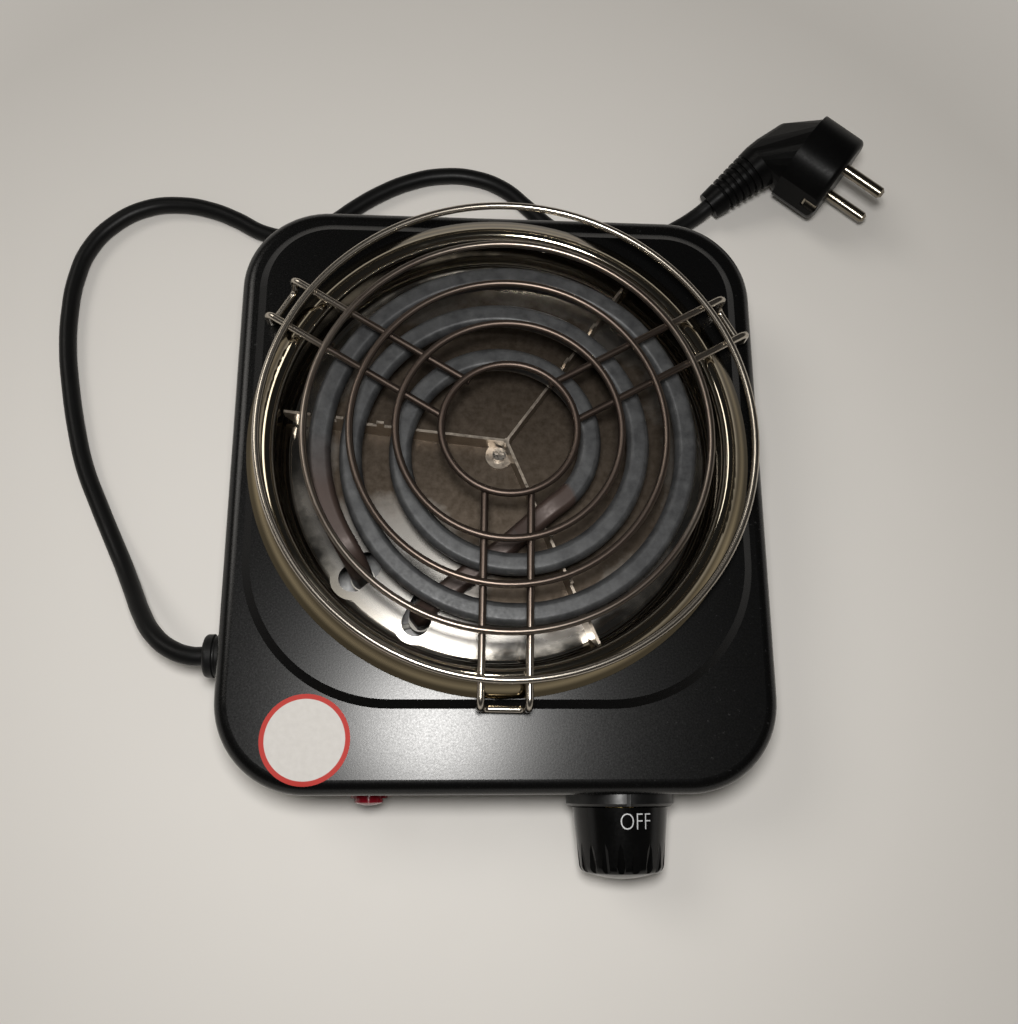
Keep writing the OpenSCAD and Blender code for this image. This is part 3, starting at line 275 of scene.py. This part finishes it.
enamel = stove_enamel()
plate = simple("plate_steel", 0.3, 0.22, 0.5, metallic=1.0)
fastener = simple("fastener_steel", (0.24, 0.22, 0.195), (0.17, 0.155, 0.135), 0.3, metallic=1.0)
rubber = simple("black_rubber", 0.006, 0.004, 0.45, Specular_IOR_Level=0.25)
cord_rubber = simple("cord_rubber", 0.005, 0.0035, 0.42, 0.06, Specular_IOR_Level=0.18)
pan_steel = pan_stains_and_painted_bands()
support = simple("support_steel", (0.42, 0.37, 0.31), (0.26, 0.22, 0.18), 0.36, scale=700, metallic=1.0)
sheath = oxidised_tube()
ceramic = simple("ceramic", (0.8, 0.77, 0.7), (0.72, 0.69, 0.62), 0.55)
grid_wire = browned_wire()
knob_black = simple("knob_plastic", 0.003, 0.0015, 0.2, 0.04, Specular_IOR_Level=0.25)
bezel_black = simple("bezel_plastic", 0.006, 0.004, 0.34, 0.06, Specular_IOR_Level=0.4)
brass = simple("terminal_brass", (0.7, 0.5, 0.2), (0.55, 0.38, 0.15), 0.3, metallic=1.0)
lens_red = simple("red_lens", (0.32, 0.01, 0.022), (0.23, 0.007, 0.016), 0.1, 0.04, Transmission_Weight=0.3)
lamp_glass = simple("lamp_glass", (0.85, 0.78, 0.7), (0.8, 0.7, 0.6), 0.1, 0.04, Transmission_Weight=0.6)
sleeve = wire_covering()
plug_black = simple("plug_plastic", 0.004, 0.0025, 0.34, 0.06, Specular_IOR_Level=0.06)
nickel = simple("pin_nickel", (0.28, 0.25, 0.2), (0.22, 0.195, 0.155), 0.22, 0.05, metallic=1.0)

BY_SLOT = {
    "housing_enamel": enamel, "plate_steel": plate, "fastener_steel": fastener, "black_rubber": rubber,
    "cord_rubber": cord_rubber, "pan_steel": pan_steel, "support_steel": support, "element_sheath": sheath,
    "ceramic": ceramic, "grid_wire": grid_wire, "knob_plastic": knob_black, "bezel_plastic": bezel_black,
    "terminal_brass": brass, "red_lens": lens_red, "lamp_glass": lamp_glass, "wire_sleeve": sleeve,
    "plug_plastic": plug_black, "pin_nickel": nickel,
}
for part in frame["record"]["subparts"]:
    obj = nodes[part["node"]]
    obj.data.materials.clear()
    obj.data.materials.append(BY_SLOT[part["material_slot"]])


def piece(obj, body, mat, instead=()):
    """Gives a new object its material and body, and hides the CAD nodes that it stands in for."""
    obj.data.materials.clear()
    obj.data.materials.append(mat)
    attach(obj, body)
    if instead:
        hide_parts(*instead)
    return obj


def shape(name, points, faces, smooth=True):
    """A mesh object from points in millimetres."""
    mesh = bpy.data.meshes.new(name)
    mesh.from_pydata([Vector(p) * MM for p in points], [], faces)
    mesh.polygons.foreach_set("use_smooth", [smooth] * len(mesh.polygons))
    mesh.update()
    made = bpy.data.objects.new(name, mesh)
    scene.collection.objects.link(made)
    return made


# Heating element: the CAD model's route at a finer step

COIL = Vector((COIL_X, COIL_Y, COIL_Z))
COIL_START, COIL_END = -51, 931
COIL_R0, COIL_PITCH, COIL_LIMIT = 27, 17.6, 67
TUBE_R, TUBE_FLAT = 4, 0.8
LEG_Z, LEG_END_Z, LEG_BEND = 41.75, 23, 10
INNER_LEG = Vector((-28.16, -31.78, LEG_Z))
RISE_AT = Vector((-1.03, -10.69, LEG_Z))
RISE_STEPS, BEND_STEPS, TURN_STEP = 16, 10, 4


def on_coil(angle):
    r = min(COIL_R0 + COIL_PITCH * (angle - COIL_START) / 360, COIL_LIMIT)
    a = math.radians(angle)
    return COIL + Vector((r * math.cos(a), r * math.sin(a), 0))


def quarter(level, heading, sign):
    """Bend between upright and level, from its level end; sign is +1 where the way leads up."""
    way = []
    for k in range(BEND_STEPS + 1):
        t = math.radians(90 * k / BEND_STEPS)
        way.append(level - heading * (sign * LEG_BEND * math.sin(t)) - UP * LEG_BEND * (1 - math.cos(t)))
    return way[::-1] if sign > 0 else way


def element_route():
    first = on_coil(COIL_START)
    heading = (RISE_AT - INNER_LEG).normalized()
    way = [Vector((INNER_LEG.x, INNER_LEG.y, LEG_END_Z))]
    way += quarter(INNER_LEG + heading * LEG_BEND, heading, 1)
    for k in range(RISE_STEPS):
        t = k / RISE_STEPS
        rise = RISE_AT.lerp(first, t)
        rise.z = LEG_Z + (first.z - LEG_Z) * t * t * (3 - 2 * t)
        way.append(rise)
    way += [on_coil(a) for a in range(COIL_START, COIL_END, TURN_STEP)]
    last = on_coil(COIL_END)
    tangent = math.radians(COIL_END + 90)
    way += quarter(last, Vector((math.cos(tangent), math.sin(tangent), 0)), -1)
    way.append(Vector((way[-1].x, way[-1].y, LEG_END_Z)))
    return way


def swept_tube(way, sides=28):
    """Rings along the way, flattened on the side that faces up."""
    points, faces = [], []
    side = (RISE_AT - INNER_LEG).normalized().cross(UP)
    for k, at in enumerate(way):
        tangent = (way[min(k + 1, len(way) - 1)] - way[max(k - 1, 0)]).normalized()
        level = tangent.cross(UP)
        if level.length > 0.02:
            side = level.normalized()
        rise = side.cross(tangent).normalized()
        for s in range(sides):
            a = 2 * math.pi * s / sides
            high = min(TUBE_R * math.sin(a), TUBE_R - TUBE_FLAT)
            points.append(at + side * TUBE_R * math.cos(a) + rise * high)
    for k in range(len(way) - 1):
        for s in range(sides):
            n = (s + 1) % sides
            faces.append((k * sides + s, k * sides + n, (k + 1) * sides + n, (k + 1) * sides + s))
    faces.append(tuple(range(sides - 1, -1, -1)))
    faces.append(tuple(range((len(way) - 1) * sides, len(way) * sides)))
    return points, faces


element = shape("element_tube", *swept_tube(element_route()))
piece(element, "base", sheath, ("heating_coil",))

# Blank round sticker on the front left corner, which follows the rolled edge

LABEL_X, LABEL_Y, LABEL_R = -65.1, -75.85, 15
LABEL_LIFT = 0.08
FLAT_X, FLAT_Y, FLAT_CORNER, ROLL_R = 91.5, 103, 27, 5


def roll_drop(x, y):
    """How far the rolled edge of the case's top lies below the flat."""
    over_x = max(abs(x) - (FLAT_X - FLAT_CORNER), 0)
    over_y = max(abs(y - BODY_Y) - (FLAT_Y - FLAT_CORNER), 0)
    past = max(math.hypot(over_x, over_y) - FLAT_CORNER, 0)
    return ROLL_R - math.sqrt(ROLL_R ** 2 - past ** 2)


def sticker(rings=12, sides=64):
    points, faces = [(LABEL_X, LABEL_Y, TOP_Z + LABEL_LIFT)], []
    for k in range(1, rings + 1):
        for s in range(sides):
            a = 2 * math.pi * s / sides
            x = LABEL_X + LABEL_R * k / rings * math.cos(a)
            y = LABEL_Y + LABEL_R * k / rings * math.sin(a)
            points.append((x, y, TOP_Z + LABEL_LIFT - roll_drop(x, y)))
    for s in range(sides):
        n = (s + 1) % sides
        faces.append((0, 1 + s, 1 + n))
        for k in range(rings - 1):
            a, b = 1 + k * sides, 1 + (k + 1) * sides
            faces.append((a + s, b + s, b + n, a + n))
    return points, faces


def sticker_paper():
    """Matt white with a red border."""
    mat, tree, shader = material("label_paper", Roughness=0.65, Specular_IOR_Level=0.25)
    where = place(tree)
    out = radius_from(tree, where, LABEL_X, LABEL_Y, LABEL_R)
    fibre = noise(tree, where, 500, 4)
    white = ramp(tree, fibre, (0.3, (0.575, 0.555, 0.53)), (0.7, (0.62, 0.6, 0.575)))
    border = ramp(tree, out, (0.885, 0.0), (0.895, 1.0))
    tree.links.new(mix(tree, border, white, (0.46, 0.04, 0.032)), shader.inputs["Base Color"])
    return mat


label = shape("blank_label", *sticker())
piece(label, "base", sticker_paper())

# The word OFF, printed round the top of the knob

OFF_X, OFF_BASE, OFF_W, OFF_H = 46.3, -105.3, 10.8, 5.3
KNOB_BACK_Y, KNOB_BACK_R, KNOB_TAPER = -98.25, 16.8, 2 / 19
PRINT_LIFT = 0.08


def printed_off():
    text = bpy.data.curves.new("off_text", "FONT")
    text.body = "OFF"
    text.resolution_u = 4
    text.offset = -0.018
    holder = bpy.data.objects.new("off_text", text)
    scene.collection.objects.link(holder)
    bpy.context.view_layer.update()
    mesh = bpy.data.meshes.new_from_object(holder)
    bpy.data.objects.remove(holder)
    grown = bmesh.new()
    grown.from_mesh(mesh)
    long_edges = [e for e in grown.edges if e.calc_length() > 0.1]
    bmesh.ops.subdivide_edges(grown, edges=long_edges, cuts=3, use_grid_fill=True)
    grown.to_mesh(mesh)
    grown.free()
    xs = [v.co.x for v in mesh.vertices]
    ys = [v.co.y for v in mesh.vertices]
    for v in mesh.vertices:
        across = (v.co.x - min(xs)) / (max(xs) - min(xs)) - 0.5
        y = OFF_BASE + OFF_H * (v.co.y - min(ys)) / (max(ys) - min(ys))
        r = KNOB_BACK_R - KNOB_TAPER * (KNOB_BACK_Y - y) + PRINT_LIFT
        turn = (OFF_X - KNOB_X + across * OFF_W) / r
        v.co = Vector((KNOB_X + r * math.sin(turn), y, KNOB_Z + r * math.cos(turn))) * MM
    made = bpy.data.objects.new("off_print", mesh)
    scene.collection.objects.link(made)
    return made


piece(printed_off(), "knob", simple("print_white", (0.62, 0.63, 0.64), (0.5, 0.51, 0.52), 0.45))

# Mains lead: the route of the CAD model's cord, from the bushing to the plug's sleeve

CORD_R = 3.4
LEAD = [
    (-104.5, -45.75, 26), (-109.5, -45.75, 26), (-117.5, -43, 25), (-125, -37, 22), (-131, -29, 17),
    (-136.5, -19.5, 11.5), (-142, -9.5, 7), (-148.5, 2.5, 4.2), (-155, 15.5, 3.4), (-162, 31, 3.4),
    (-167, 47, 3.4), (-171, 64, 3.4), (-174, 81, 3.4), (-175, 98, 3.4), (-174, 113, 3.4),
    (-170, 127, 3.4), (-161, 139, 3.4), (-148, 147, 3.4), (-134, 149, 3.4), (-121, 147, 3.4),
    (-109.5, 142.5, 3.4), (-99, 137, 3.4), (-88, 135, 3.4), (-77.5, 137.5, 3.4), (-68.5, 143.5, 3.4),
    (-60, 150.5, 3.4), (-50, 157.5, 3.4), (-37, 164, 3.4), (-23, 167.5, 3.4), (-9, 167, 3.4),
    (4, 162, 3.4), (14, 153.5, 3.4), (23, 145, 3.4), (33, 139, 3.4), (45, 136, 3.4),
    (58, 136.5, 3.4), (69.5, 139.5, 3.4), (79.5, 144.5, 4), (89.3, 150.65, 5.9), (93.9, 154, 7.85),
]
line = bpy.data.curves.new("power_cord_line", "CURVE")
line.dimensions = "3D"
line.bevel_depth = CORD_R * MM
line.bevel_resolution = 6
line.resolution_u = 10
spline = line.splines.new("BEZIER")
spline.bezier_points.add(len(LEAD) - 1)
for knot, at in zip(spline.bezier_points, LEAD):
    knot.co = Vector(at) * MM
    knot.handle_left_type = knot.handle_right_type = "AUTO"
flex = bpy.data.objects.new("mains_cord", line)
scene.collection.objects.link(flex)
piece(flex, "base", cord_rubber, ("power_cord",))

# Floor, light and camera

FLOOR_SIZE = 6
FAR_FLOOR = (0.42, 0.405, 0.385, 1)

bpy.ops.mesh.primitive_plane_add(size=FLOOR_SIZE, location=(0, 0, 0))
floor = bpy.context.object
floor.name = "floor"
table = simple("table", (0.79, 0.765, 0.73), (0.775, 0.75, 0.715), 0.6, 0.04, 60, grain=0.02)
floor.data.materials.append(table)


def seen(tree):
    """One for what the camera sees or metal and glass show, nought for light on the object."""
    path = add(tree, "ShaderNodeLightPath")
    shown = maths(tree, "MAXIMUM", path.outputs["Is Camera Ray"], path.outputs["Is Glossy Ray"])
    return maths(tree, "MAXIMUM", shown, path.outputs["Is Transmission Ray"])


def fade_to_pale(mat):
    """The floor stays pale far from the lamps, beyond the object's shadow."""
    tree = mat.node_tree
    shader = tree.nodes["Principled BSDF"]
    shader.inputs["Emission Color"].default_value = FAR_FLOOR
    away = ramp(tree, radius_from(tree, place(tree), 0, 0, 1000), (0.3, 0.0), (0.64, 1.0))
    tree.links.new(maths(tree, "MULTIPLY", seen(tree), away), shader.inputs["Emission Strength"])


fade_to_pale(table)

world = bpy.data.worlds.new("studio")
scene.world = world
world.use_nodes = True
sky = world.node_tree
height = add(sky, "ShaderNodeSeparateXYZ")
sky.links.new(add(sky, "ShaderNodeTexCoord").outputs["Generated"], height.inputs["Vector"])
room = ramp(
    sky, height.outputs["Z"],
    (0.0, (0.2, 0.19, 0.17)), (0.4, (0.16, 0.152, 0.138)), (0.75, (0.12, 0.116, 0.108)),
)
pale = ramp(
    sky, height.outputs["Z"],
    (0.14, (0.56, 0.54, 0.515)), (0.3, (0.05, 0.045, 0.038)), (0.75, 0.02),
)
sky.links.new(mix(sky, seen(sky), room, pale), sky.nodes["Background"].inputs["Color"])


def lamp(name, at, aim, size, power, colour):
    data = bpy.data.lights.new(name, "AREA")
    data.shape = "DISK"
    data.size = size
    data.energy = power
    data.color = colour
    made = bpy.data.objects.new(name, data)
    made.location = at
    made.rotation_euler = (Vector(aim) - Vector(at)).to_track_quat("-Z", "Y").to_euler()
    scene.collection.objects.link(made)


lamp("key", at=(-0.026, -0.048, 0.45), aim=(-0.03, -0.01, 0), size=0.08, power=1.35, colour=(1, 0.985, 0.96))
lamp("room", at=(-2.0, 1.2, 2.6), aim=(0, 0, 0), size=1.6, power=22, colour=(1, 0.96, 0.9))

CAMERA_AT = (-0.0196, -0.0888, 0.3897)
CAMERA_RIGHT = Vector((0.99788, -0.00372, 0.06492))
CAMERA_UP = Vector((-0.01324, 0.96583, 0.25882))
CAMERA_BACK = Vector((-0.06366, -0.25914, 0.96374))

camera = bpy.data.objects.new("camera", bpy.data.cameras.new("camera"))
camera.data.sensor_width = 36
camera.data.lens = 35.06
camera.data.clip_start = 0.01
turn = Matrix((CAMERA_RIGHT, CAMERA_UP, CAMERA_BACK)).transposed().to_4x4()
camera.matrix_world = Matrix.Translation(CAMERA_AT) @ turn
scene.collection.objects.link(camera)
scene.camera = camera
scene.view_settings.view_transform = "Standard"
